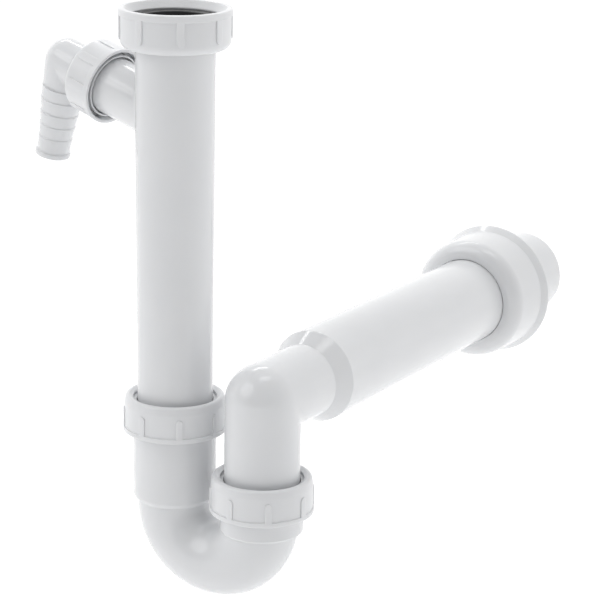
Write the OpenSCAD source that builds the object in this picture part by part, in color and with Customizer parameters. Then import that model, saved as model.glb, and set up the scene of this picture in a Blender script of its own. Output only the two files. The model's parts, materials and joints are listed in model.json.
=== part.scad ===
// P trap with a long inlet tube, a hose nozzle on a side branch, and a wall outlet pipe.
// The origin is the centre of the inlet seal's top face, where the waste outlet seats.
// +Z points up the inlet tube, +X from the inlet tube to the riser, and +Y along the
// outlet pipe to the wall. All lengths are in millimetres.

/* [Layout] */
// Distance between the axes of the inlet tube and the riser
trap_centres = 55.3; // [54:0.1:58]
// Depth of the outlet pipe's axis below the inlet seal
outlet_drop = 195.4; // [192:0.1:197]
// Depth of the inlet tube's lower end
tube_end_drop = 238; // [232:1:242]
// Depth of the top of the nut on the trap's inlet side
trap_inlet_drop = 201.4; // [198:0.1:205]
// Depth of the top of the nut on the trap's outlet side
trap_outlet_drop = 235.9; // [234:0.1:237]
// Depth of the centre of the U-bend's arc
bend_drop = 261; // [259:0.5:265]

/* [Pipes] */
// Outside radius of the 40 mm waste pipe
tube_r = 20; // [20:0.1:20]
// Outside radius of the inlet tube just under its collar
tube_top_r = 20.75; // [20.2:0.05:20.8]
// Outside radius of the U-bend
bend_r = 19.7; // [19:0.1:20]
// Outside radius of the 50 mm outlet pipe
outlet_r = 25; // [25:0.1:25]
// Wall thickness of the pipes
wall = 2.2; // [1.8:0.1:2.6]
// Length of the 40 mm leg, from the riser's axis
leg_length = 40.2; // [38:0.1:44]
// Length of the cone between the 40 mm leg and the 50 mm pipe
cone_length = 10.1; // [8:0.1:14]
// Distance from the riser's axis to the end of the outlet pipe
outlet_length = 307.3; // [280:0.1:340]
// Length of the plain end of the outlet pipe, which goes into the wall
spigot_length = 42; // [30:1:60]
// Growth of the outlet pipe's radius from its plain end to the cone
outlet_draft = 0.1; // [0:0.05:0.15]

/* [Side branch] */
// Depth at which the branch's axis meets the inlet tube's axis
branch_drop = 53.5; // [50:0.1:60]
// Angle of the branch above the horizontal
branch_rise = 14; // [12:0.5:16]
// Turn of the branch from -X towards +Y
branch_turn = 10; // [0:1:20]
// Outside radius of the branch tube
branch_r = 15.2; // [14.8:0.05:15.4]
// Inside radius of the branch tube
branch_bore_r = 12.4; // [12:0.1:12.8]
// Distance along the branch to the back of its threaded collar
branch_collar_start = 46; // [45:0.5:48]
// Length of the threaded collar
branch_collar_length = 7; // [7:0.5:8]

/* [Hose nozzle] */
// Distance along the branch to the nozzle's corner
nozzle_corner = 82.7; // [82.5:0.1:90]
// Outside radius of the nozzle's leg
nozzle_leg_r = 12.3; // [12:0.1:12.5]
// Inside radius of the nozzle's leg
nozzle_leg_bore_r = 10.2; // [9:0.1:10.4]
// Length of the hose barb, from the corner to its tip
barb_length = 54.4; // [53:0.1:60]
// Inside radius of the hose barb
barb_bore_r = 6.8; // [5:0.1:7.2]

/* [Nuts] */
// Height of the union nut
nut_height = 20.8; // [20:0.1:22]
// Height of the two trap nuts
trap_nut_height = 19.5; // [19:0.1:20]
// Number of grip ribs on each nut
rib_count = 8; // [6:1:10]
// Turn of the ribs about each nut's axis
rib_turn = -5.5; // [-22:0.5:22]
// Height of the union nut's rim above the inlet seal
inlet_nut_rise = 4.4; // [3:0.1:6]
// Radius of the plain bore that stands for the G 1 1/2 female thread
thread_bore_r = 23.2; // [23.2:0.1:23.2]
// Radius of the union nut's bore below the inlet seal's top face
thread_relief_r = 23.6; // [23.5:0.1:23.8]

/* [Wall rosette] */
// Distance from the riser's axis to the rosette's front edge
rosette_start = 226.8; // [180:0.1:240]
// Depth of the rosette, front to back
rosette_depth = 34.7; // [32:0.1:40]
// Outside radius of the rosette's rear flange
rosette_r = 38.9; // [38:0.1:42]

/* [Hidden] */
$fn = 120;

white = [0.93, 0.94, 0.95];
black = [0.07, 0.07, 0.08];

tube_bore_r = tube_r - wall;
outlet_bore_r = outlet_r - wall;
bend_bore_r = bend_r - wall;
male_thread_r = thread_bore_r - 0.2;
part_gap = 0.3;            // free space between pieces that only touch in use
seal_clearance = 0.06;     // running clearance of a rubber seal on its pipe
lip_thickness = 2.4;       // inner lip at the closed end of a nut
seal_thickness = 3;        // flat seal under the waste outlet
collar_r = 22;             // moulded collar at the top of the inlet tube
collar_thickness = 3;
ring_thickness = 2;        // split retaining ring under the collar
socket_r = 22.16;          // outside of the plain part of a trap socket
socket_bore_r = tube_r + 0.35;
socket_mouth = 7;          // from a trap nut's top to the socket's mouth
socket_thread_end = 17.9;  // from a trap nut's top to the end of the thread
socket_step_drop = bend_drop - 1.4;
collar_step_drop = bend_drop + 5.3;
branch_end = branch_collar_start + branch_collar_length;
branch_thread_r = 17.0;    // outside of the branch's threaded collar
branch_groove_r = 16.1;    // groove in the back of that collar
nozzle_bore_r = branch_thread_r + 0.2;
nozzle_nut_start = branch_collar_start - 0.6;
nozzle_seal_thickness = 1.5;
nozzle_flange_r = 16;
nozzle_flange_thickness = 4.1;
nozzle_ring_thickness = 1.8;

// Points on an arc, for the round stretches of a profile
function arc(centre, radius, from, to, steps = 8) =
    [for (i = [0:steps]) let (a = from + (to - from) * i / steps)
        [centre.x + radius * cos(a), centre.y + radius * sin(a)]];

// Places its children on the side branch, with +Z out along the branch and +X down
module on_branch() {
    translate([0, 0, -branch_drop])
        rotate([0, 0, 180 - branch_turn])
            rotate([0, 90 - branch_rise, 0])
                children();
}

// Places its children on the riser's axis
module on_riser() {
    translate([trap_centres, 0, 0])
        children();
}

// Places its children at the top of the nut on the trap's inlet side
module at_trap_inlet() {
    translate([0, 0, -trap_inlet_drop])
        children();
}

// Places its children at the top of the nut on the trap's outlet side
module at_trap_outlet() {
    on_riser()
        translate([0, 0, -trap_outlet_drop])
            children();
}

// Places its children on the outlet's axis, with +Z along the outlet pipe
module on_outlet() {
    translate([trap_centres, 0, -outlet_drop])
        rotate([-90, 0, 0])
            children();
}

// Grip ribs with round ends, standing on a nut's body from its rim band
module ribs(body_r, band_r, reach, width) {
    intersection() {
        difference() {
            cylinder(r = band_r - 0.05, h = reach + width);
            translate([0, 0, -1])
                cylinder(r = body_r - 0.5, h = reach + width + 2);
        }
        for (i = [0:rib_count - 1])
            rotate([90, 0, rib_turn + i * 360 / rib_count + 90])
                linear_extrude(band_r + 2) {
                    translate([-width / 2, 1])
                        square([width, reach - width / 2 - 1]);
                    translate([0, reach - width / 2])
                        circle(d = width, $fn = 40);
                }
    }
}

// Round shoulder between a nut's side and the top of its lip
function round_shoulder(body_r, height, corner) =
    arc([body_r - corner, height - corner], corner, 0, 90);

// Tapered shoulder that ends in a round crest, with a shallow funnel inside the crest
function crested_shoulder(body_r, height, hole_r) =
    let (side = 4.3, crest = 2, crest_r = body_r - 0.8, funnel = 1.1)
        concat([[body_r, height - side], [crest_r, height - crest]],
               arc([crest_r - crest, height - crest], crest, 10, 90),
               [[hole_r + 0.2, height - funnel]]);

// Nut with its mouth at z = 0 and its inner lip at the far end
module nut(height, body_r, band_r, band, bore_r, hole_r, shoulder, mouth, reach, rib_width) {
    lip_end = shoulder[len(shoulder) - 1].y;
    rotate_extrude()
        polygon(concat(
            [[bore_r, mouth.y], [bore_r + mouth.x, 0], [band_r - 0.6, 0],
             [band_r, 0.6], [band_r, band], [body_r, band]],
            shoulder,
            [[hole_r, min(height, lip_end)], [hole_r, height - lip_thickness],
             [bore_r, height - lip_thickness]]));
    ribs(body_r, band_r, reach, rib_width);
}

module inlet_union_nut() {
    thread_start = 0.35;
    lip_top = inlet_nut_rise - nut_height + lip_thickness;
    color(white)
        difference() {
            translate([0, 0, inlet_nut_rise])
                rotate([180, 0, 2 * rib_turn])
                    nut(nut_height, 28.4, 29.2, 3.6, thread_bore_r, collar_r + 0.2,
                        round_shoulder(28.4, nut_height, 4.5), [3.2, 2], 16, 4.3);
            translate([0, 0, lip_top])
                cylinder(r = thread_relief_r, h = thread_start - lip_top);
        }
}

module inlet_seal() {
    color(black)
        translate([0, 0, -seal_thickness])
            difference() {
                cylinder(r = male_thread_r, h = seal_thickness);
                translate([0, 0, -1])
                    cylinder(r = tube_bore_r, h = seal_thickness + 2);
            }
}

// Split ring that is sprung round the tube under its collar and keeps the nut on
module inlet_retaining_ring() {
    lip_top = inlet_nut_rise - nut_height + lip_thickness;
    inside_r = tube_top_r + 0.2;
    color(white)
        translate([0, 0, lip_top + 0.2])
            rotate([0, 0, 20])
                rotate_extrude(angle = 350)
                    translate([inside_r, 0])
                        square([thread_relief_r - part_gap - inside_r, ring_thickness]);
}

module inlet_tube() {
    top = -seal_thickness;
    taper_end = -182;
    color(white)
        difference() {
            union() {
                rotate_extrude()
                    polygon([[0, top], [collar_r, top], [collar_r, top - collar_thickness],
                             [tube_top_r, top - collar_thickness],
                             [tube_r, taper_end], [tube_r, 1 - tube_end_drop],
                             [tube_r - 1, -tube_end_drop], [0, -tube_end_drop]]);
                on_branch() {
                    cylinder(r = branch_r, h = branch_end);
                    translate([0, 0, branch_collar_start])
                        difference() {
                            cylinder(r = branch_thread_r, h = branch_collar_length);
                            translate([0, 0, -1])
                                cylinder(r = branch_groove_r, h = 5);
                        }
                }
            }
            rotate_extrude()
                polygon([[0, top + 1], [tube_top_r - wall, top + 1],
                         [tube_top_r - wall, top - 4], [tube_bore_r, taper_end],
                         [tube_bore_r, -tube_end_drop - 1], [0, -tube_end_drop - 1]]);
            on_branch()
                cylinder(r = branch_bore_r, h = branch_end + 1);
        }
}

module nozzle_seal() {
    color(black)
        on_branch()
            translate([0, 0, branch_end])
                difference() {
                    cylinder(r = nozzle_flange_r, h = nozzle_seal_thickness);
                    translate([0, 0, -1])
                        cylinder(r = nozzle_leg_bore_r, h = nozzle_seal_thickness + 2);
                }
}

// Split ring between the nozzle's flange and the lip of its nut
module nozzle_retaining_ring() {
    flange_end = branch_end + nozzle_seal_thickness + nozzle_flange_thickness;
    inside_r = nozzle_leg_r + 0.25;
    color(white)
        on_branch()
            translate([0, 0, flange_end + part_gap])
                rotate([0, 0, 20])
                    rotate_extrude(angle = 345)
                        translate([inside_r, 0])
                            square([nozzle_bore_r - part_gap - inside_r,
                                    nozzle_ring_thickness]);
}

module nozzle_nut() {
    height = 18.5;
    color(white)
        on_branch()
            translate([0, 0, nozzle_nut_start])
                difference() {
                    rotate([0, 0, -rib_turn])
                        nut(height, 20, 20.65, 3.2, nozzle_bore_r, nozzle_leg_r + 0.6,
                            round_shoulder(20, height, 2), [1.9, 4.5], 16, 4.9);
                    // Notches inside the mouth
                    for (i = [0:5])
                        rotate([0, 0, 17 + i * 60])
                            translate([0, 0, -1])
                                rotate_extrude(angle = 30)
                                    translate([nozzle_bore_r - 1, 0])
                                        square([2.6, 6]);
                }
}

// Quarter of a ball that rounds the outside of an elbow's corner
module corner_ball(radius) {
    rotate([0, -90, 0])
        rotate([90, 0, 0])
            rotate_extrude(angle = 90)
                intersection() {
                    circle(radius);
                    translate([0, -radius])
                        square([radius, 2 * radius]);
                }
}

// Hose barb along +Z, with its ramps narrowing towards the tip
module barb_outside() {
    barbs = [[14.6, 11.7, 11.0], [21.6, 11.5, 10.1], [29.3, 10.6, 9.6],
             [36.2, 10.0, 9.0], [43.4, 9.4, 8.7]];
    neck_end = barb_length - 2.6;
    tip_r = 9.6;
    rotate_extrude()
        polygon(concat(
            [[0, 0], [nozzle_leg_r, 0], [10.7, 9], [10.6, barbs[0].x]],
            [for (i = [0:len(barbs) - 1])
                let (next = i < len(barbs) - 1 ? barbs[i + 1].x : neck_end)
                    each [[barbs[i].y, barbs[i].x], [barbs[i].z, next]]],
            [[tip_r, neck_end + 0.4], [tip_r, barb_length - 0.6],
             [tip_r - 0.7, barb_length], [0, barb_length]]));
}

module nozzle_elbow() {
    flange_start = branch_end + nozzle_seal_thickness;
    color(white)
        on_branch()
            difference() {
                union() {
                    translate([0, 0, flange_start]) {
                        cylinder(r = nozzle_flange_r, h = nozzle_flange_thickness);
                        cylinder(r = nozzle_leg_r, h = nozzle_corner - flange_start);
                    }
                    translate([0, 0, nozzle_corner]) {
                        corner_ball(nozzle_leg_r);
                        rotate([0, 90, 0])
                            barb_outside();
                    }
                }
                translate([0, 0, flange_start - 1])
                    cylinder(r = nozzle_leg_bore_r, h = nozzle_corner - flange_start + 1);
                translate([0, 0, nozzle_corner]) {
                    corner_ball(nozzle_leg_bore_r);
                    rotate([0, 90, 0])
                        rotate_extrude()
                            polygon([[0, 0], [nozzle_leg_bore_r, 0], [barb_bore_r, 12],
                                     [barb_bore_r, barb_length + 1], [0, barb_length + 1]]);
                }
            }
}

// Nut of a compression joint, with the top of its lip at z = 0
module compression_nut() {
    translate([0, 0, -trap_nut_height])
        nut(trap_nut_height, 26.9, 27.6, 2.5, thread_bore_r, 22.1,
            crested_shoulder(26.9, trap_nut_height, 22.1), [0.8, 0.8], 13, 3.7);
}

// Slip ring under the lip of a compression nut
module slip_ring() {
    thickness = 1.6;
    translate([0, 0, -lip_thickness - part_gap - thickness])
        difference() {
            cylinder(r = thread_bore_r - part_gap, h = thickness);
            translate([0, 0, -1])
                cylinder(r = socket_bore_r, h = thickness + 2);
        }
}

// Conical rubber seal between a pipe and the mouth of its socket
module cone_seal() {
    rotate_extrude()
        polygon([[tube_r + seal_clearance, -4.6], [22.7, -4.6], [22.7, -6.7],
                 [22, -6.7], [20.7, -12.5], [tube_r + seal_clearance, -12.5]]);
}

module trap_inlet_nut() {
    color(white)
        at_trap_inlet()
            compression_nut();
}

module trap_inlet_slip_ring() {
    color(white)
        at_trap_inlet()
            slip_ring();
}

module trap_inlet_seal() {
    color(black)
        at_trap_inlet()
            cone_seal();
}

module trap_outlet_nut() {
    color(white)
        at_trap_outlet()
            compression_nut();
}

module trap_outlet_slip_ring() {
    color(white)
        at_trap_outlet()
            slip_ring();
}

module trap_outlet_seal() {
    color(black)
        at_trap_outlet()
            cone_seal();
}

// Outside of a trap socket down to the depth given, measured from its nut's top
module socket_outside(depth, chamfer) {
    rotate_extrude()
        polygon([[0, -socket_mouth], [male_thread_r - 0.5, -socket_mouth],
                 [male_thread_r, -socket_mouth - 0.5], [male_thread_r, -socket_thread_end],
                 [socket_r, -socket_thread_end - 0.8], [socket_r, -depth + chamfer],
                 [socket_r - chamfer / 2, -depth], [0, -depth]]);
}

// Bore of a trap socket: the seal's cone, then a plain bore for the pipe
module socket_bore(depth) {
    rotate_extrude()
        polygon([[0, -socket_mouth + 1], [22.3, -socket_mouth + 1], [22.3, -socket_mouth],
                 [socket_bore_r, -socket_mouth - 8], [socket_bore_r, -depth], [0, -depth]]);
}

// Half ring from the foot of the inlet side to the foot of the outlet side
module bend(radius) {
    translate([trap_centres / 2, 0, -bend_drop])
        rotate([90, 0, 0])
            rotate([0, 0, 180])
                rotate_extrude(angle = 180)
                    translate([trap_centres / 2, 0])
                        circle(radius);
}

module u_bend() {
    inlet_shoulder = 257.5;
    outlet_shoulder = 256.8;
    color(white)
        difference() {
            union() {
                bend(bend_r);
                translate([0, 0, -bend_drop])
                    cylinder(r = bend_r, h = 4);
                at_trap_inlet()
                    socket_outside(socket_step_drop - trap_inlet_drop, 2.4);
                on_riser()
                    translate([0, 0, -bend_drop])
                        cylinder(r = bend_r, h = 4);
                at_trap_outlet()
                    socket_outside(collar_step_drop - trap_outlet_drop, 0.8);
            }
            bend(bend_bore_r);
            translate([0, 0, -bend_drop])
                cylinder(r = bend_bore_r, h = 6);
            at_trap_inlet()
                socket_bore(inlet_shoulder - trap_inlet_drop);
            on_riser()
                translate([0, 0, -bend_drop])
                    cylinder(r = bend_bore_r, h = 6);
            at_trap_outlet()
                socket_bore(outlet_shoulder - trap_outlet_drop);
        }
}

// Riser, corner and horizontal leg, as one solid of the pipe radii given
module bend_and_pipe(leg_r, pipe_r, bottom, pipe_end) {
    on_riser() {
        translate([0, 0, -bottom])
            cylinder(r = leg_r, h = bottom - outlet_drop);
        translate([0, 0, -outlet_drop])
            rotate([0, 0, 90])
                corner_ball(leg_r);
    }
    on_outlet()
        rotate_extrude()
            polygon([[0, 0], [leg_r, 0], [leg_r, leg_length],
                     [pipe_r + outlet_draft, leg_length + cone_length],
                     [pipe_r, outlet_length - spigot_length],
                     [pipe_r, pipe_end], [0, pipe_end]]);
}

module outlet_bend() {
    riser_end = 255.5;
    color(white)
        difference() {
            bend_and_pipe(tube_r, outlet_r, riser_end, outlet_length);
            bend_and_pipe(tube_bore_r, outlet_bore_r, riser_end + 1, outlet_length + 1);
        }
}

module wall_rosette() {
    hole_r = outlet_r + outlet_draft + part_gap;
    skin = 1.8;
    back = rosette_depth;
    color(white)
        on_outlet()
            translate([0, 0, rosette_start])
                rotate_extrude()
                    polygon(concat(
                        [[hole_r, 0], [27.2, 0]],
                        arc([27.2, 8.2], 8.2, -78, -4),
                        [[36.3, back - 5.7], [rosette_r, back - 1.2], [rosette_r, back],
                         [rosette_r - skin, back], [36.3 - skin, back - 5.2]],
                        arc([27.2, 8.2], 8.2 - skin, -4, -78),
                        [[27, skin + 0.1], [27, 9], [hole_r, 9]]));
}

inlet_union_nut();
inlet_seal();
inlet_retaining_ring();
inlet_tube();
nozzle_seal();
nozzle_retaining_ring();
nozzle_nut();
nozzle_elbow();
trap_inlet_nut();
trap_inlet_slip_ring();
trap_inlet_seal();
u_bend();
trap_outlet_nut();
trap_outlet_slip_ring();
trap_outlet_seal();
outlet_bend();
wall_rosette();
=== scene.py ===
import json
import math

import bmesh
import bpy
from mathutils import Matrix, Vector


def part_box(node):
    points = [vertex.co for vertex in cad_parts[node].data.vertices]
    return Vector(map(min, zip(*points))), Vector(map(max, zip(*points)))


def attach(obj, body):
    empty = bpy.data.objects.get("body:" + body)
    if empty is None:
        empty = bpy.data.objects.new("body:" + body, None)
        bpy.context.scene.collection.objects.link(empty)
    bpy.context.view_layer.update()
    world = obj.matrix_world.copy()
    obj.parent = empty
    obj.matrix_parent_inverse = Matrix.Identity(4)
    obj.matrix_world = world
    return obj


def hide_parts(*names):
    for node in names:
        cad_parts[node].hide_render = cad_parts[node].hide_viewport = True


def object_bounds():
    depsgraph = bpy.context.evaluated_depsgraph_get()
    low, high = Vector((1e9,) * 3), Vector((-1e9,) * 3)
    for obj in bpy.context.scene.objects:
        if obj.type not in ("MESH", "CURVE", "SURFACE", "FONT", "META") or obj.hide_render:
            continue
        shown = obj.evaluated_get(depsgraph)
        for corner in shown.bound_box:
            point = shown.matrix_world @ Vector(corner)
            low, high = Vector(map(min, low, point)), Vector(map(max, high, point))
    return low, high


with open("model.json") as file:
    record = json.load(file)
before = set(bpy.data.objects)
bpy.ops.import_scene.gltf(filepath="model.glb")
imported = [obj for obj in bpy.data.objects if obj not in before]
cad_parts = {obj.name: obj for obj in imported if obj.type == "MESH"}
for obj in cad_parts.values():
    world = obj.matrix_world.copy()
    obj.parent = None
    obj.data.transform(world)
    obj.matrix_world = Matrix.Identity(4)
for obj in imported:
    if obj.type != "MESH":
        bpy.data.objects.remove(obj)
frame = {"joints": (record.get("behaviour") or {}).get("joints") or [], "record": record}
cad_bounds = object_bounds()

MM = 0.001
SEGMENTS = 144             # faces round a pipe
HOLD = 0.35                # distance from an edge to the loop that keeps a flat side flat
SHARP_ANGLE = math.radians(38)

# Thread of the G 1 1/2 nuts, which the branch's collar shares
PITCH = 2.309
STEPS_PER_PITCH = 12

# Radii and small lengths that the boxes of the CAD nodes don't give
TUBE_R, TUBE_TOP_R, BEND_R, OUTLET_R = 20.0, 20.75, 19.7, 25.0
WALL = 2.2
BORE_R = TUBE_R - WALL
BEND_BORE_R = BEND_R - WALL
OUTLET_BORE_R = OUTLET_R - WALL
COLLAR_R, COLLAR_THICKNESS = 22.0, 3.0
FEMALE_R, MALE_R = 23.2, 23.0
SOCKET_R, SOCKET_BORE_R = 22.16, 20.35
BRANCH_R, BRANCH_BORE_R = 15.2, 12.4
BRANCH_MALE_R, BRANCH_FEMALE_R, BRANCH_GROOVE_R = 17.0, 17.2, 16.1
NOZZLE_R, NOZZLE_BORE_R, BARB_BORE_R = 12.3, 10.2, 6.8
LIP = 2.4
RIB_COUNT, RIB_TURN = 8, math.radians(-5.5)

# Places along the branch's axis, from the inlet tube's axis out
COLLAR_START, COLLAR_END = 46.0, 53.0
FLANGE_START, FLANGE_END = 54.5, 58.6
NOZZLE_RING_START, NOZZLE_RING_END = 58.9, 60.7
NOZZLE_NUT_START = 45.4
FLANGE_R = 16.0

JOINTS = {joint["name"]: joint for joint in frame["joints"]}
MOUNTS = {mount["name"]: mount for mount in frame["record"]["mounts"]}


def low(node):
    """Lowest corner of a CAD node, in millimetres."""
    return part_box(node)[0] / MM


def high(node):
    """Highest corner of a CAD node, in millimetres."""
    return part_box(node)[1] / MM


def point(values):
    """A position of the record, in millimetres."""
    return Vector(values) / MM


UP = Vector((0, 0, 1))
TO_WALL = Vector(MOUNTS["outlet"]["axis"])
BRANCH_AXIS = Vector(JOINTS["nozzle_swivel"]["axis"])
BARB_AXIS = Vector(MOUNTS["hose_barb"]["axis"])
BRANCH_START = point(JOINTS["nozzle_swivel"]["pos_m"])
NOZZLE_CORNER = (point(MOUNTS["hose_barb"]["pos_m"]) - BRANCH_START).dot(BRANCH_AXIS)
RISER_X = point(JOINTS["outlet_swivel"]["pos_m"]).x
OUTLET_Z = point(MOUNTS["outlet"]["pos_m"]).z
BEND_Z = low("u_bend").z + RISER_X / 2 + BEND_R


# ---------------------------------------------------------------- outlines

def rounded(corners, steps=4):
    """Closed outline from corners (radius, height) or (radius, height, fillet)."""
    outline = []
    for i, corner in enumerate(corners):
        here = Vector(corner[:2])
        if len(corner) < 3 or corner[2] == 0:
            outline.append(tuple(here))
            continue
        before = (Vector(corners[i - 1][:2]) - here).normalized()
        after = (Vector(corners[(i + 1) % len(corners)][:2]) - here).normalized()
        half = before.angle(after) / 2
        centre = here + (before + after).normalized() * corner[2] / math.sin(half)
        spoke = here + before * corner[2] / math.tan(half) - centre
        turn = math.pi - 2 * half
        if spoke.x * before.y - spoke.y * before.x > 0:
            turn = -turn
        for k in range(steps + 1):
            a = turn * k / steps
            outline.append((centre.x + spoke.x * math.cos(a) - spoke.y * math.sin(a),
                            centre.y + spoke.x * math.sin(a) + spoke.y * math.cos(a)))
    return outline


def held(outline, closed=True):
    """Adds loops near the ends of long sides, so that smooth shading keeps them flat."""
    result = []
    last = len(outline) if closed else len(outline) - 1
    for i in range(last):
        a, b = outline[i], outline[(i + 1) % len(outline)]
        result.append(a)
        length = math.dist(a[:2], b[:2])
        if length > 4 * HOLD and len(a) == 2 and len(b) == 2:
            for t in (HOLD / length, 1 - HOLD / length):
                result.append((a[0] + (b[0] - a[0]) * t, a[1] + (b[1] - a[1]) * t))
    return result if closed else result + [outline[-1]]


def thread(radius, start, end, depth):
    """Points (radius, height, groove) along a thread that fades in and out."""
    count = max(2, round(abs(end - start) / PITCH * STEPS_PER_PITCH))
    points = []
    for i in range(count + 1):
        t = i / count
        run = min(t, 1 - t) * abs(end - start) / (0.6 * PITCH)
        fade = min(1.0, run) ** 2 * (3 - 2 * min(1.0, run))
        points.append((radius, start + (end - start) * t, depth * fade))
    return points


def groove(height, angle):
    """Depth of a right-handed thread's groove there, from 0 on a crest to 1 at a root."""
    phase = height / PITCH - angle / (2 * math.pi)
    return 0.5 - 0.5 * math.cos(2 * math.pi * phase)


def radius_at(entry, angle):
    """Radius of one entry of an outline at an angle about its axis."""
    if len(entry) < 3 or entry[2] == 0:
        return entry[0]
    return entry[0] + entry[2] * groove(entry[1], angle)


# ---------------------------------------------------------------- meshes

def skin_rings(bm, rings, around=True, along=True):
    """Faces between rings of vertices. A ring of one vertex is a pole."""
    count = len(rings)
    for i in range(count if along else count - 1):
        a, b = rings[i], rings[(i + 1) % count]
        size = max(len(a), len(b))
        for k in range(size if around else size - 1):
            n = (k + 1) % size
            if len(a) == 1:
                bm.faces.new((a[0], b[k], b[n]))
            elif len(b) == 1:
                bm.faces.new((a[k], b[0], a[n]))
            else:
                bm.faces.new((a[k], b[k], b[n], a[n]))


def lathe(outline, closed=True, segments=SEGMENTS, start=0.0, sweep=2 * math.pi):
    """Turns an outline about +Z. A part turn gets flat ends."""
    bm = bmesh.new()
    whole = abs(sweep - 2 * math.pi) < 1e-6
    count = segments if whole else segments + 1
    rings = []
    for entry in outline:
        if entry[0] < 1e-6:
            rings.append([bm.verts.new((0, 0, entry[1]))])
            continue
        ring = []
        for k in range(count):
            angle = start + sweep * k / segments
            r = radius_at(entry, angle)
            ring.append(bm.verts.new((r * math.cos(angle), r * math.sin(angle), entry[1])))
        rings.append(ring)
    skin_rings(bm, rings, around=whole, along=closed)
    if not whole:
        bm.faces.new([ring[0] for ring in rings])
        bm.faces.new([ring[-1] for ring in rings])
    bmesh.ops.recalc_face_normals(bm, faces=bm.faces)
    return bm


def placed(bm, matrix):
    """Moves a mesh in the frame, in millimetres."""
    bmesh.ops.transform(bm, matrix=matrix, verts=bm.verts)
    return bm


def axes(origin, z_axis, x_axis):
    """Matrix to a place whose +Z and +X point along the axes given."""
    y_axis = z_axis.cross(x_axis)
    turn = Matrix((x_axis, y_axis, z_axis)).transposed()
    return Matrix.Translation(origin) @ turn.to_4x4()


ON_BRANCH = axes(BRANCH_START, BRANCH_AXIS, BARB_AXIS)


def joined(*parts):
    """One mesh that holds all the meshes given."""
    whole = parts[0]
    for part in parts[1:]:
        mesh = bpy.data.meshes.new("part")
        part.to_mesh(mesh)
        part.free()
        whole.from_mesh(mesh)
        bpy.data.meshes.remove(mesh)
    return whole


def solid_object(bm):
    mesh = bpy.data.meshes.new("solid")
    bm.to_mesh(mesh)
    bm.free()
    obj = bpy.data.objects.new("solid", mesh)
    bpy.context.scene.collection.objects.link(obj)
    return obj


def combined(base, other, operation):
    """Exact union or difference of two closed meshes."""
    target, tool = solid_object(base), solid_object(other)
    modifier = target.modifiers.new("combine", "BOOLEAN")
    modifier.operation = operation
    modifier.solver = "EXACT"
    modifier.object = tool
    bpy.context.view_layer.update()
    mesh = bpy.data.meshes.new_from_object(
        target.evaluated_get(bpy.context.evaluated_depsgraph_get()))
    result = bmesh.new()
    result.from_mesh(mesh)
    for obj in (target, tool):
        data = obj.data
        bpy.data.objects.remove(obj)
        bpy.data.meshes.remove(data)
    bpy.data.meshes.remove(mesh)
    bmesh.ops.remove_doubles(result, verts=result.verts, dist=0.002)
    return result


def elbow(place, leg_in, leg_out, bore_in, bore_out, crotch):
    """Pipe with a ball corner at the place's origin.

    The first leg comes from -Z and the second leaves along +X. Each list holds
    (distance from the corner, radius), from the far end in, then from the corner out.
    The crotch is the radius of the fillet inside the corner.
    """
    bm = bmesh.new()
    softness = 4.0          # how gently the fillet runs out round the pipe, in mm squared

    def corner_radius(s, fillet):
        spread = -s - fillet
        return (-s + fillet + math.sqrt(spread * spread + softness)) / 2

    def shell(first, second, fillet, steps=20):
        rings = []
        around = [2 * math.pi * k / SEGMENTS for k in range(SEGMENTS)]
        for distance, r in first:
            rings.append([Vector((r * math.cos(a), r * math.sin(a), -distance))
                          for a in around])
        r = first[-1][1]
        for i in range(steps + 1):
            bend = math.pi / 2 * i / steps
            ring = []
            for a in around:
                s = r * math.cos(a)
                turn_r = corner_radius(s, fillet)
                centre = s + turn_r
                ring.append(Vector((centre - turn_r * math.cos(bend), r * math.sin(a),
                                    -centre + turn_r * math.sin(bend))))
            rings.append(ring)
        for distance, r in second:
            rings.append([Vector((distance, r * math.sin(a), -r * math.cos(a)))
                          for a in around])
        return rings

    outside = shell(leg_in, leg_out, crotch)
    inside = shell(bore_in, bore_out, crotch + leg_in[-1][1] - bore_in[-1][1])
    rings = [[bm.verts.new(p) for p in ring] for ring in outside + inside[::-1]]
    skin_rings(bm, rings)
    bmesh.ops.recalc_face_normals(bm, faces=bm.faces)
    return placed(bm, place)


# ---------------------------------------------------------------- materials

def noise(tree, coordinates, scale, detail=2.0):
    node = tree.nodes.new("ShaderNodeTexNoise")
    node.inputs["Scale"].default_value = scale
    node.inputs["Detail"].default_value = detail
    tree.links.new(coordinates, node.inputs["Vector"])
    return node.outputs["Fac"]


def ranged(tree, value, lowest, highest):
    """Spreads a noise value over a range."""
    node = tree.nodes.new("ShaderNodeMapRange")
    node.inputs["From Min"].default_value = 0.3
    node.inputs["From Max"].default_value = 0.7
    node.inputs["To Min"].default_value = lowest
    node.inputs["To Max"].default_value = highest
    tree.links.new(value, node.inputs["Value"])
    return node.outputs["Result"]


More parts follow.
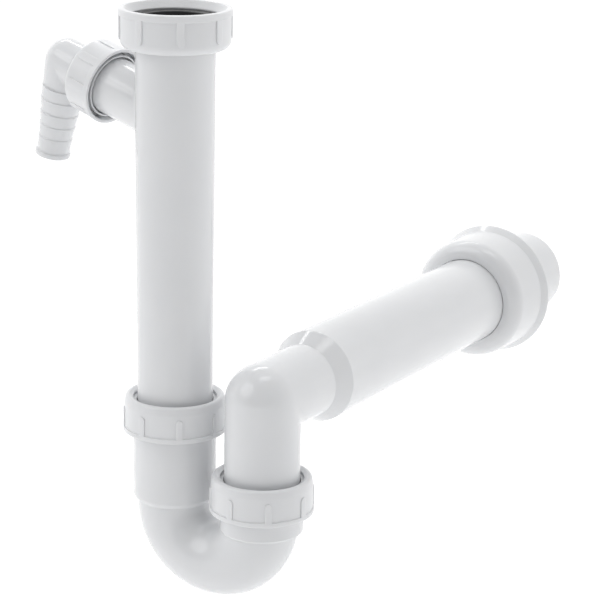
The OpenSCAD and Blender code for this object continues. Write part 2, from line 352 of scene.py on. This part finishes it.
def moulded(name, light, dark, roughness, grain_depth, grain_scale=900.0):
    """Moulded surface with faint flow marks, a fine grain and uneven gloss."""
    material = bpy.data.materials.new(name)
    material.use_nodes = True
    tree = material.node_tree
    shader = tree.nodes["Principled BSDF"]
    coordinates = tree.nodes.new("ShaderNodeTexCoord").outputs["Object"]

    flow = noise(tree, coordinates, 28.0)
    tone = tree.nodes.new("ShaderNodeMix")
    tone.data_type = "RGBA"
    tone.inputs["A"].default_value = (*dark, 1)
    tone.inputs["B"].default_value = (*light, 1)
    tree.links.new(ranged(tree, flow, 0.0, 1.0), tone.inputs["Factor"])
    tree.links.new(tone.outputs["Result"], shader.inputs["Base Color"])

    gloss = noise(tree, coordinates, 120.0, 4.0)
    tree.links.new(ranged(tree, gloss, roughness * 0.88, roughness * 1.12),
                   shader.inputs["Roughness"])

    bump = tree.nodes.new("ShaderNodeBump")
    bump.inputs["Strength"].default_value = 0.5
    bump.inputs["Distance"].default_value = grain_depth
    tree.links.new(noise(tree, coordinates, grain_scale, 3.0), bump.inputs["Height"])
    tree.links.new(bump.outputs["Normal"], shader.inputs["Normal"])
    return material, shader


def white_plastic(name, roughness, grain_depth):
    material, shader = moulded(name, (0.715, 0.722, 0.735), (0.695, 0.703, 0.717),
                               roughness, grain_depth)
    shader.inputs["IOR"].default_value = 1.49
    shader.inputs["Subsurface Weight"].default_value = 0.3
    shader.inputs["Subsurface Radius"].default_value = (1.0, 0.95, 0.9)
    shader.inputs["Subsurface Scale"].default_value = 0.002
    return material


def rubber(name):
    material, shader = moulded(name, (0.016, 0.017, 0.018), (0.009, 0.0095, 0.010),
                               0.42, 0.00004, 1400.0)
    shader.inputs["Specular IOR Level"].default_value = 0.45
    return material


PIPE = white_plastic("white_pp_glossy", 0.13, 0.000010)
NUT = white_plastic("white_pp_satin", 0.32, 0.000010)
RUBBER = rubber("black_rubber_moulded")


def piece(node, body, bm, material):
    """Finishes a mesh as the visible piece that stands for a CAD node."""
    bmesh.ops.scale(bm, vec=(MM, MM, MM), verts=bm.verts)
    for face in bm.faces:
        face.smooth = True
    mesh = bpy.data.meshes.new(node + "_moulding")
    bm.to_mesh(mesh)
    bm.free()
    mesh.set_sharp_from_angle(angle=SHARP_ANGLE)
    mesh.materials.append(material)
    obj = bpy.data.objects.new(node + "_moulding", mesh)
    bpy.context.scene.collection.objects.link(obj)
    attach(obj, body)
    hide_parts(node)


# ---------------------------------------------------------------- nuts

def rib(body_r, band_r, reach, width, angle):
    """Grip rib with a round end and soft edges, rooted inside the nut's body."""
    top_r, edge = band_r - 0.04, 0.3
    layers = [(body_r - 0.8, 0.0), (top_r - edge, 0.0), (top_r - edge * 0.3, edge * 0.3),
              (top_r, edge), (top_r, width * 0.25), (top_r, width * 0.44)]
    near, far = 1.2 + width / 2, reach - width / 2
    bm = bmesh.new()
    rings = []
    for r, inset in layers:
        half = width / 2 - inset
        ring = []
        for centre, first in ((far, 0.0), (near, math.pi)):
            for k in range(17):
                a = first + math.pi * k / 16
                across, height = half * math.cos(a), centre + half * math.sin(a)
                turn = angle + across / band_r
                ring.append(bm.verts.new((r * math.cos(turn), r * math.sin(turn), height)))
        rings.append(ring)
    skin_rings(bm, rings, along=False)
    bm.faces.new(rings[0])
    bm.faces.new(rings[-1])
    bmesh.ops.recalc_face_normals(bm, faces=bm.faces)
    return bm


def nut(height, body_r, band_r, band, bore_r, hole_r, shoulder, mouth, reach, rib_width,
        thread_end, thread_depth, rim_fillet, first_rib):
    """Nut with its mouth at z = 0, its lip at the far end, and a thread inside.

    The band is the height of the rim round the mouth, and the reach is where the ribs end.
    The mouth is a chamfer (extra radius, depth), and the shoulder lists the corners from
    the body to the hole.
    """
    thread_start = mouth[1] + 0.25
    root = bore_r + 0.02
    outline = held(rounded([
        (root, height - LIP, 0.3), (root, thread_end + 0.1), (root, thread_start),
        (bore_r + 0.1, mouth[1], 0.1), (bore_r + mouth[0], 0, 0.25),
        (band_r, 0, rim_fillet), (band_r, band, 0.3), (body_r, band, 0.25),
        *shoulder, (hole_r, height - LIP, 0.25)], steps=5))
    cut = next(i for i, p in enumerate(outline) if abs(p[1] - thread_start) < 1e-6)
    keep = [p for i, p in enumerate(outline)
            if not (i < cut and thread_start < p[1] < thread_end)]
    cut = next(i for i, p in enumerate(keep) if abs(p[1] - thread_start) < 1e-6)
    outline = keep[:cut] + thread(bore_r, thread_end, thread_start, thread_depth)[1:-1] \
        + keep[cut:]
    body = lathe(outline)
    ribs = joined(*[rib(body_r, band_r, reach, rib_width,
                        first_rib + 2 * math.pi * i / RIB_COUNT)
                    for i in range(RIB_COUNT)])
    return combined(body, ribs, "UNION")


def inlet_union_nut():
    """Nut on top of the inlet tube, mouth up, with a deep chamfer in its mouth."""
    top, bottom = high("inlet_union_nut").z, low("inlet_union_nut").z
    height, body_r, hole_r = top - bottom, 28.4, COLLAR_R + 0.2
    bm = nut(height, body_r, band_r=29.19, band=3.6, bore_r=FEMALE_R, hole_r=hole_r,
             shoulder=[(body_r, height, 4.5), (hole_r, height, 0.45)],
             mouth=(3.2, 3.6), reach=16.0, rib_width=4.3, thread_end=13.4,
             thread_depth=1.1, rim_fillet=0.8, first_rib=-RIB_TURN)
    turn = Matrix.Translation((0, 0, top)) @ Matrix.Rotation(math.pi, 4, "X")
    piece("inlet_union_nut", "inlet_nut", placed(bm, turn), NUT)


def compression_nut(node, body, x):
    """Nut with a tapered shoulder, a round crest and a shallow funnel down to its hole."""
    top, bottom = high(node).z, low(node).z
    height, body_r, hole_r = top - bottom, 26.9, 22.1
    bm = nut(height, body_r, band_r=27.6, band=2.5, bore_r=FEMALE_R, hole_r=hole_r,
             shoulder=[(body_r, height - 4.3), (26.1, height, 1.9), (24.2, height, 0.5),
                       (hole_r, height - 1.1, 0.3)],
             mouth=(0.8, 0.8), reach=13.0, rib_width=3.7, thread_end=14.3,
             thread_depth=1.1, rim_fillet=0.5, first_rib=RIB_TURN)
    piece(node, body, placed(bm, Matrix.Translation((x, 0, bottom))), NUT)


def nozzle_nut():
    """Nut whose mouth has notches cut round its bore."""
    height, body_r, hole_r = 18.5, 20.0, NOZZLE_R + 0.6
    bm = nut(height, body_r, band_r=20.65, band=3.2, bore_r=BRANCH_FEMALE_R, hole_r=hole_r,
             shoulder=[(body_r, height, 2.0), (hole_r, height, 0.45)],
             mouth=(1.9, 4.5), reach=16.0, rib_width=4.9, thread_end=13.6,
             thread_depth=0.6, rim_fillet=0.35, first_rib=0.0)
    notch_count, first_notch, notch_sweep = 6, 17, 30
    inside, outside, depth = BRANCH_FEMALE_R - 1, BRANCH_FEMALE_R + 1.6, 5.0
    notches = [lathe([(inside, -1), (outside, -1), (outside, depth), (inside, depth)],
                     segments=12, start=math.radians(first_notch + 360 / notch_count * i),
                     sweep=math.radians(notch_sweep))
               for i in range(notch_count)]
    bm = combined(bm, joined(*notches), "DIFFERENCE")
    place = ON_BRANCH @ Matrix.Translation((0, 0, NOZZLE_NUT_START))
    piece("nozzle_nut", "nozzle_nut", placed(bm, place), NUT)


# ---------------------------------------------------------------- rings and seals

def ring_outline(inside, outside, bottom, top, fillet):
    return held(rounded([(inside, bottom, fillet), (outside, bottom, fillet),
                         (outside, top, fillet), (inside, top, fillet)]))


def inlet_seal():
    """Flat washer with a sealing bead on its top face."""
    bottom, top = low("inlet_seal").z, high("inlet_seal").z
    face = top - 0.35
    bead = [(20.9, face, 0.2), (20.3, top, 0.3), (19.7, face, 0.2)]
    outline = rounded([(BORE_R, bottom, 0.4), (MALE_R, bottom, 0.4),
                       (MALE_R, face, 0.4), *bead, (BORE_R, face, 0.5)])
    piece("inlet_seal", "inlet", lathe(held(outline)), RUBBER)


def split_ring(node, body, inside, outside, bottom, top, place, sweep):
    """Ring with a gap, which lets it open over a pipe. The sweep is in degrees."""
    gap_end, fillet = 20, 0.25
    bm = lathe(ring_outline(inside, outside, bottom, top, fillet),
               start=math.radians(gap_end), sweep=math.radians(sweep))
    piece(node, body, placed(bm, place), NUT)


def nozzle_seal():
    bm = lathe(ring_outline(NOZZLE_BORE_R, FLANGE_R, COLLAR_END, FLANGE_START, 0.3))
    piece("nozzle_seal", "inlet", placed(bm, ON_BRANCH), RUBBER)


def slip_ring(node, body, x):
    bottom, top = low(node).z, high(node).z
    bm = lathe(ring_outline(SOCKET_BORE_R, FEMALE_R - 0.3, bottom, top, 0.3))
    piece(node, body, placed(bm, Matrix.Translation((x, 0, 0))), NUT)


def cone_seal(node, body, x):
    """Conical rubber seal with a flange that the slip ring presses on."""
    bottom, top = low(node).z, high(node).z
    inside, flange_r, cone_r, tip_r = TUBE_R + 0.06, 22.7, 22.0, 20.7
    flange_bottom = top - 2.1
    outline = rounded([(inside, top, 0.2), (flange_r, top, 0.3), (flange_r, flange_bottom, 0.3),
                       (cone_r, flange_bottom), (tip_r, bottom, 0.2), (inside, bottom, 0.15)])
    bm = lathe(held(outline))
    piece(node, body, placed(bm, Matrix.Translation((x, 0, 0))), RUBBER)


# ---------------------------------------------------------------- pipes

def union_edges(bm, tube_r, branch_r, reach=0.25):
    """Edges where the branch's side meets the tube's side."""
    def off_branch(p):
        v = p - BRANCH_START
        return (v - BRANCH_AXIS * v.dot(BRANCH_AXIS)).length - branch_r

    def on_curve(vert):
        p = vert.co
        return abs(math.hypot(p.x, p.y) - tube_r) < reach \
            and abs(off_branch(p)) < reach and (p - BRANCH_START).dot(BRANCH_AXIS) > 0
    return [e for e in bm.edges if all(on_curve(v) for v in e.verts)
            and len(e.link_faces) == 2 and e.calc_face_angle(0) > math.radians(25)]


def inlet_tube():
    """Tube with a collar, and a side branch with a threaded collar, in one moulding."""
    top, bottom = high("inlet_tube").z, low("inlet_tube").z
    under, taper_end, tube_r_at_branch = top - COLLAR_THICKNESS, -182.0, 20.6
    tube = lathe(held([(0, top)] + rounded([
        (0, top), (COLLAR_R, top, 0.4), (COLLAR_R, under, 0.4), (TUBE_TOP_R, under, 0.4),
        (TUBE_R, taper_end), (TUBE_R, bottom, 1.0), (0, bottom)])[1:-1]
        + [(0, bottom)], closed=False), closed=False)

    shank_end, thread_start, thread_end = 50.0, COLLAR_START + 0.7, COLLAR_END - 0.6
    shank = rounded([
        (0, 0), (BRANCH_R, 0), (BRANCH_R, shank_end, 0.3), (BRANCH_GROOVE_R, shank_end, 0.3),
        (BRANCH_GROOVE_R, COLLAR_START, 0.25), (BRANCH_MALE_R, COLLAR_START, 0.3),
        (BRANCH_MALE_R, thread_start)])[1:]
    end = rounded([(BRANCH_MALE_R, thread_end), (BRANCH_MALE_R, COLLAR_END, 0.35),
                   (0, COLLAR_END)])[:-1]
    thread_points = thread(BRANCH_MALE_R, thread_start, thread_end, -0.55)
    branch = lathe([(0, 0)] + held(shank, closed=False)[:-1] + thread_points
                   + end[1:] + [(0, COLLAR_END)], closed=False)
    whole = combined(tube, placed(branch, ON_BRANCH), "UNION")
    bmesh.ops.bevel(whole, geom=union_edges(whole, tube_r_at_branch, BRANCH_R), offset=1.6,
                    offset_type="OFFSET", segments=4, profile=0.5, affect="EDGES",
                    clamp_overlap=False)

    bore_top = TUBE_TOP_R - WALL
    bore = lathe([(0, top + 1), (bore_top, top + 1), (bore_top, top - 4), (BORE_R, taper_end),
                  (BORE_R, bottom - 1), (0, bottom - 1)], closed=False)
    branch_bore = lathe([(0, 0), (BRANCH_BORE_R, 0), (BRANCH_BORE_R, COLLAR_END + 1),
                         (0, COLLAR_END + 1)], closed=False)
    whole = combined(whole, bore, "DIFFERENCE")
    whole = combined(whole, placed(branch_bore, ON_BRANCH), "DIFFERENCE")
    piece("inlet_tube", "inlet", whole, PIPE)


def nozzle_elbow():
    """Flange, leg, ball corner and hose barb in one moulding.

    Each barb is (start, radius at the start, radius at the end), from the corner out.
    """
    barbs = [(14.6, 11.7, 11.0), (21.6, 11.5, 10.1), (29.3, 10.6, 9.6), (36.2, 10.0, 9.0),
             (43.4, 9.4, 8.7)]
    neck_end, tip_end, tip_r = 51.8, 54.4, 9.58
    corner = NOZZLE_R + 2.4
    flange = [(NOZZLE_CORNER - z, r) for r, z in rounded([
        (FLANGE_R - 2, FLANGE_START), (FLANGE_R, FLANGE_START, 0.3),
        (FLANGE_R, FLANGE_END, 0.3), (NOZZLE_R, FLANGE_END, 0.4),
        (NOZZLE_R, FLANGE_END + 2), (NOZZLE_R, 70)])]
    leg_in = flange + [(corner, NOZZLE_R - 0.15)]
    corners = [(10.9, 15.0), (10.6, barbs[0][0], 0.25)]
    for i, (position, start_r, end_r) in enumerate(barbs):
        following = barbs[i + 1][0] if i + 1 < len(barbs) else neck_end
        corners += [(start_r, position + 0.15, 0.35), (end_r, following - 0.4, 0.3)]
    corners += [(tip_r, neck_end + 0.4, 0.35), (tip_r, tip_end, 0.6), (8.0, tip_end)]
    leg_out = [(corner, 11.35), (13.2, 11.3)] \
        + [(z, r) for r, z in held(rounded([(0, 0)] + corners)[1:], closed=False)]
    bore_in = [(NOZZLE_CORNER - FLANGE_START, NOZZLE_BORE_R), (18.0, NOZZLE_BORE_R)]
    bore_out = [(12.9, 7.2), (16.0, BARB_BORE_R), (tip_end - 0.4, BARB_BORE_R),
                (tip_end, BARB_BORE_R + 0.4)]
    place = axes(BRANCH_START + BRANCH_AXIS * NOZZLE_CORNER, BRANCH_AXIS, BARB_AXIS)
    piece("nozzle_elbow", "nozzle", elbow(place, leg_in, leg_out, bore_in, bore_out, 1.2),
          PIPE)


def outlet_bend():
    """Riser, ball corner, 40 mm leg, cone and 50 mm pipe in one moulding."""
    riser = OUTLET_Z - low("outlet_bend").z
    end = high("outlet_bend").y
    leg_start, leg_end, cone_end, draft = 24, 40.2, 50.3, 0.1
    spigot_start = end - MOUNTS["outlet"]["dims"]["length_mm"]
    leg_in = [(riser, TUBE_R - 1.6), (riser, TUBE_R - 1.0), (riser - 0.3, TUBE_R - 0.4),
              (riser - 1, TUBE_R), (riser - 1.4, TUBE_R), (leg_start + 2, TUBE_R),
              (leg_start, TUBE_R)]
    pipe = rounded([(TUBE_R, leg_start), (TUBE_R, leg_end, 1.2), (OUTLET_R + draft, cone_end, 0.9),
                    (OUTLET_R, spigot_start), (OUTLET_R, end, 0.8),
                    (OUTLET_BORE_R + 0.5, end)])
    leg_out = [(z, r) for r, z in held(pipe, closed=False)]
    bore_in = [(riser, BORE_R + 0.3), (riser - 0.5, BORE_R), (leg_start + 2, BORE_R)]
    bore_out = [(leg_start + 2, BORE_R), (leg_end, BORE_R), (cone_end, OUTLET_BORE_R + draft),
                (spigot_start, OUTLET_BORE_R), (end - 0.5, OUTLET_BORE_R),
                (end, OUTLET_BORE_R + 0.3)]
    place = axes(Vector((RISER_X, 0, OUTLET_Z)), UP, TO_WALL)
    piece("outlet_bend", "outlet", elbow(place, leg_in, leg_out, bore_in, bore_out, 2.6), PIPE)


def u_bend():
    """Both sockets with their threads, and the half ring between them."""
    bm = bmesh.new()
    middle = RISER_X / 2
    around = [2 * math.pi * k / SEGMENTS for k in range(SEGMENTS)]
    inlet_top, outlet_top = high("trap_inlet_nut").z, high("trap_outlet_nut").z
    mouth, thread_end = 7.0, 17.9
    step_z, collar_z = BEND_Z + 1.4, BEND_Z - 5.3
    inlet_shoulder, outlet_shoulder = -257.5, -256.8
    outside_steps, inside_steps = 72, 48

    def level(entry, outlet_side):
        """Ring of one entry of an outline about a socket's axis."""
        ring = []
        for a in around:
            across = math.cos(a) if outlet_side else -math.cos(a)
            r = radius_at(entry, math.atan2(math.sin(a), across))
            ring.append(Vector((RISER_X * outlet_side + r * across, r * math.sin(a), entry[1])))
        return ring

    def sweep_ring(pipe_r, turn):
        """Ring of the half ring at a turn, which may differ round the pipe."""
        ring = []
        for a in around:
            reach = middle + pipe_r * math.cos(a)
            t = turn(reach)
            ring.append(Vector((middle + reach * math.cos(t), pipe_r * math.sin(a),
                                BEND_Z - reach * math.sin(t))))
        return ring

    def socket(top, lower):
        """Outside of a socket from its mouth down."""
        upper = rounded([(MALE_R - 2, top - mouth), (MALE_R - 0.1, top - mouth, 0.35),
                         (MALE_R - 0.1, top - mouth - 1)])[:-1]
        ridge = thread(MALE_R, top - mouth - 0.8, top - thread_end, -0.6)
        return upper[1:] + ridge + held(lower, closed=False)

    def bore(top, shoulder):
        """Inside of a socket from its shoulder up to its mouth."""
        return held(rounded([
            (BEND_BORE_R, BEND_Z + 0.5), (BEND_BORE_R, shoulder, 0.3),
            (SOCKET_BORE_R, shoulder, 0.3), (SOCKET_BORE_R, top - mouth - 8),
            (22.3, top - mouth)]), closed=False)

    inlet_lower = rounded([
        (SOCKET_R, inlet_top - thread_end - 0.8), (SOCKET_R, step_z + 2.4, 0.8),
        (SOCKET_R - 1.2, step_z, 0.5), (BEND_R, step_z, 0.6), (BEND_R, BEND_Z)])
    outlet_lower = rounded([
        (SOCKET_R, outlet_top - thread_end - 0.8), (SOCKET_R, collar_z + 0.8, 0.4),
        (SOCKET_R - 0.4, collar_z), (SOCKET_R - 0.6, collar_z)])[:-1]
    inlet_rings = [level(entry, 0) for entry in socket(inlet_top, inlet_lower[:-1])]
    outlet_rings = [level(entry, 1) for entry in socket(outlet_top, outlet_lower)]

    def first_turn(reach):
        """Turn at which the half ring comes up to the outlet socket's collar."""
        return math.asin((BEND_Z - collar_z) / reach)

    swept = [sweep_ring(BEND_R, lambda reach, t=i / outside_steps:
                        math.pi + (first_turn(reach) - math.pi) * t)
             for i in range(outside_steps)]
    seam = sweep_ring(BEND_R, first_turn)
    below = sweep_ring(BEND_R, lambda reach: first_turn(reach) + 0.35 / reach)
    inner = [level(entry, 0) for entry in bore(inlet_top, inlet_shoulder)]
    outer = [level(entry, 1) for entry in bore(outlet_top, outlet_shoulder)]
    inside = [sweep_ring(BEND_BORE_R, lambda reach, t=i / inside_steps: math.pi * t)
              for i in range(inside_steps + 1)]
    loops = inlet_rings + swept + [below, seam] + outlet_rings[::-1] \
        + outer[::-1] + inside + inner
    rings = [[bm.verts.new(p) for p in ring] for ring in loops]
    skin_rings(bm, rings)
    bmesh.ops.recalc_face_normals(bm, faces=bm.faces)
    piece("u_bend", "bend", bm, PIPE)


def wall_rosette():
    """Bell on the outlet pipe, with a fillet round its front and a flange at the wall.

    Its outline is (radius, depth from the front), and the fillet's angles are in degrees.
    """
    start, end = low("wall_rosette").y, high("wall_rosette").y
    depth = end - start
    skin, hole_r, side_r, flange_r = 1.8, OUTLET_R + 0.2, 36.3, 38.9
    front_r, fillet_r, hole_depth = 27.2, 8.2, 9

    def fillet_arc(radius, first, last, steps=14):
        arc = []
        for i in range(steps + 1):
            angle = math.radians(first + (last - first) * i / steps)
            arc.append((front_r + radius * math.cos(angle), fillet_r + radius * math.sin(angle)))
        return arc
    front = rounded([(hole_r, hole_depth), (hole_r, 0, 0.5), (front_r, 0), (28, 0.1)])[1:-2]
    back = rounded([(side_r - 1, depth - 12), (side_r, depth - 5.7, 0.8),
                    (flange_r, depth - 1.2, 0.5), (flange_r, depth, 0.4),
                    (flange_r - skin, depth, 0.4), (side_r - skin, depth - 5.2, 0.6),
                    (side_r - skin - 0.6, depth - 12)])[1:-1]
    outline = front + fillet_arc(fillet_r, -80, -4) + back \
        + fillet_arc(fillet_r - skin, -4, -78) \
        + [(27, skin + 0.1), (27, hole_depth), (hole_r, hole_depth)]
    place = axes(Vector((RISER_X, start, OUTLET_Z)), TO_WALL, Vector((1, 0, 0)))
    piece("wall_rosette", "rosette", placed(lathe(held(outline)), place), PIPE)


inlet_union_nut()
inlet_seal()
nut_lip = low("inlet_union_nut").z + LIP
split_ring("inlet_retaining_ring", "inlet_ring", TUBE_TOP_R + 0.2, FEMALE_R - 0.1,
           nut_lip + 0.2, nut_lip + 2.2, Matrix(), sweep=350)
inlet_tube()
nozzle_seal()
split_ring("nozzle_retaining_ring", "nozzle_ring", NOZZLE_R + 0.25, BRANCH_FEMALE_R - 0.3,
           NOZZLE_RING_START, NOZZLE_RING_END, ON_BRANCH, sweep=345)
nozzle_nut()
nozzle_elbow()
compression_nut("trap_inlet_nut", "trap_inlet_nut", 0)
slip_ring("trap_inlet_slip_ring", "trap_inlet_ring", 0)
cone_seal("trap_inlet_seal", "trap_inlet_seal", 0)
u_bend()
compression_nut("trap_outlet_nut", "trap_outlet_nut", RISER_X)
slip_ring("trap_outlet_slip_ring", "trap_outlet_ring", RISER_X)
cone_seal("trap_outlet_seal", "trap_outlet_seal", RISER_X)
outlet_bend()
wall_rosette()


# ---------------------------------------------------------------- camera and studio

CAMERA_TURN = math.radians(31.218)      # from looking along +Y towards -X
CAMERA_PITCH = math.radians(16.172)     # below the horizontal
CAMERA_ROLL = math.radians(0.982)
CAMERA_PLACE = Vector((0.64797, -0.94270, 0.18228))
LENS, SENSOR = 135.81, 36.0

FLOOR_GLOW = 0.32                       # keeps the floor white round the object's shadow
STUDIO_TURN = CAMERA_TURN - 0.25        # way to the dim side of the studio
FRONT_BACK = (0.14, 1.55)               # how bright the studio is in front and behind
FRONT_START = -0.2                      # where the bright back starts to fade, as a cosine
TOP_BOTTOM = (0.6, 1.15)                # how bright it is overhead and below
TOP_START = -1                          # fades all the way up, from straight below


def add_camera():
    data = bpy.data.cameras.new("camera")
    data.lens, data.sensor_width = LENS, SENSOR
    data.clip_end = 100
    camera = bpy.data.objects.new("camera", data)
    bpy.context.scene.collection.objects.link(camera)
    bpy.context.scene.camera = camera
    turn = Matrix.Rotation(CAMERA_TURN, 4, "Z") \
        @ Matrix.Rotation(math.pi / 2 - CAMERA_PITCH, 4, "X") \
        @ Matrix.Rotation(CAMERA_ROLL, 4, "Z")
    camera.matrix_world = Matrix.Translation(CAMERA_PLACE) @ turn


def add_floor():
    """Plain pale floor under the lowest place that the trap reaches."""
    half, drop = 12.0, 0.04
    level = cad_bounds[0][2] - drop
    bm = bmesh.new()
    bm.faces.new([bm.verts.new((x, y, level))
                  for x, y in ((-half, -half), (half, -half), (half, half), (-half, half))])
    mesh = bpy.data.meshes.new("floor")
    bm.to_mesh(mesh)
    bm.free()
    floor = bpy.data.objects.new("floor", mesh)
    material = bpy.data.materials.new("pale_floor")
    material.use_nodes = True
    shader = material.node_tree.nodes["Principled BSDF"]
    shader.inputs["Base Color"].default_value = (0.80, 0.80, 0.80, 1)
    shader.inputs["Roughness"].default_value = 1.0
    shader.inputs["Specular IOR Level"].default_value = 0.0
    shader.inputs["Emission Color"].default_value = (1, 1, 1, 1)
    shader.inputs["Emission Strength"].default_value = FLOOR_GLOW
    mesh.materials.append(material)
    bpy.context.scene.collection.objects.link(floor)


def add_softbox(name, towards, distance, size, radiance, aim):
    """Area light at a distance along a direction, aimed at a point."""
    data = bpy.data.lights.new(name, "AREA")
    data.shape = "RECTANGLE"
    data.size, data.size_y = size
    data.energy = radiance * math.pi * size[0] * size[1]
    light = bpy.data.objects.new(name, data)
    direction = Vector(towards).normalized()
    across = UP.cross(direction).normalized()
    turn = Matrix((across, direction.cross(across), direction)).transposed()
    light.matrix_world = Matrix.Translation(aim + direction * distance) @ turn.to_4x4()
    bpy.context.scene.collection.objects.link(light)


def add_sun(towards, strength, spread):
    """Broad, soft sun from a direction, with its spread in degrees."""
    data = bpy.data.lights.new("sun", "SUN")
    data.energy = strength
    data.angle = math.radians(spread)
    light = bpy.data.objects.new("sun", data)
    light.rotation_mode = "QUATERNION"
    light.rotation_quaternion = Vector(towards).to_track_quat("Z", "Y")
    bpy.context.scene.collection.objects.link(light)


def world_gradient(tree, direction, axis, start, near, far):
    """Value that stays at far up to the start, then runs to near along the axis."""
    dot = tree.nodes.new("ShaderNodeVectorMath")
    dot.operation = "DOT_PRODUCT"
    dot.inputs[1].default_value = axis
    tree.links.new(direction, dot.inputs[0])
    spread = tree.nodes.new("ShaderNodeMapRange")
    spread.inputs["From Min"].default_value = start
    spread.inputs["To Min"].default_value = far
    spread.inputs["To Max"].default_value = near
    tree.links.new(dot.outputs["Value"], spread.inputs["Value"])
    return spread.outputs["Result"]


def add_world():
    """Pale studio: bright behind and at the sides, dimmer in front and overhead."""
    world = bpy.data.worlds.new("studio")
    bpy.context.scene.world = world
    world.use_nodes = True
    tree = world.node_tree
    background = tree.nodes["Background"]
    background.inputs["Color"].default_value = (1, 1, 1, 1)
    direction = tree.nodes.new("ShaderNodeTexCoord").outputs["Generated"]
    front = (math.sin(STUDIO_TURN), -math.cos(STUDIO_TURN), 0)
    product = tree.nodes.new("ShaderNodeMath")
    product.operation = "MULTIPLY"
    across = world_gradient(tree, direction, front, FRONT_START, *FRONT_BACK)
    upwards = world_gradient(tree, direction, UP, TOP_START, *TOP_BOTTOM)
    tree.links.new(across, product.inputs[0])
    tree.links.new(upwards, product.inputs[1])
    tree.links.new(product.outputs["Value"], background.inputs["Strength"])


add_camera()
add_floor()
add_world()
centre = (Vector(cad_bounds[0]) + Vector(cad_bounds[1])) / 2
add_softbox("strip", towards=(-0.4935, 0.419, 0.7624), distance=1.2, size=(0.8, 0.12),
            radiance=6.0, aim=centre)
add_softbox("overhead", towards=(0.1, -0.1, 0.98), distance=1.2, size=(0.6, 0.4),
            radiance=2.5, aim=centre)
add_sun(towards=(-0.45, -0.62, 0.62), strength=0.75, spread=40)
bpy.context.scene.view_settings.view_transform = "Standard"
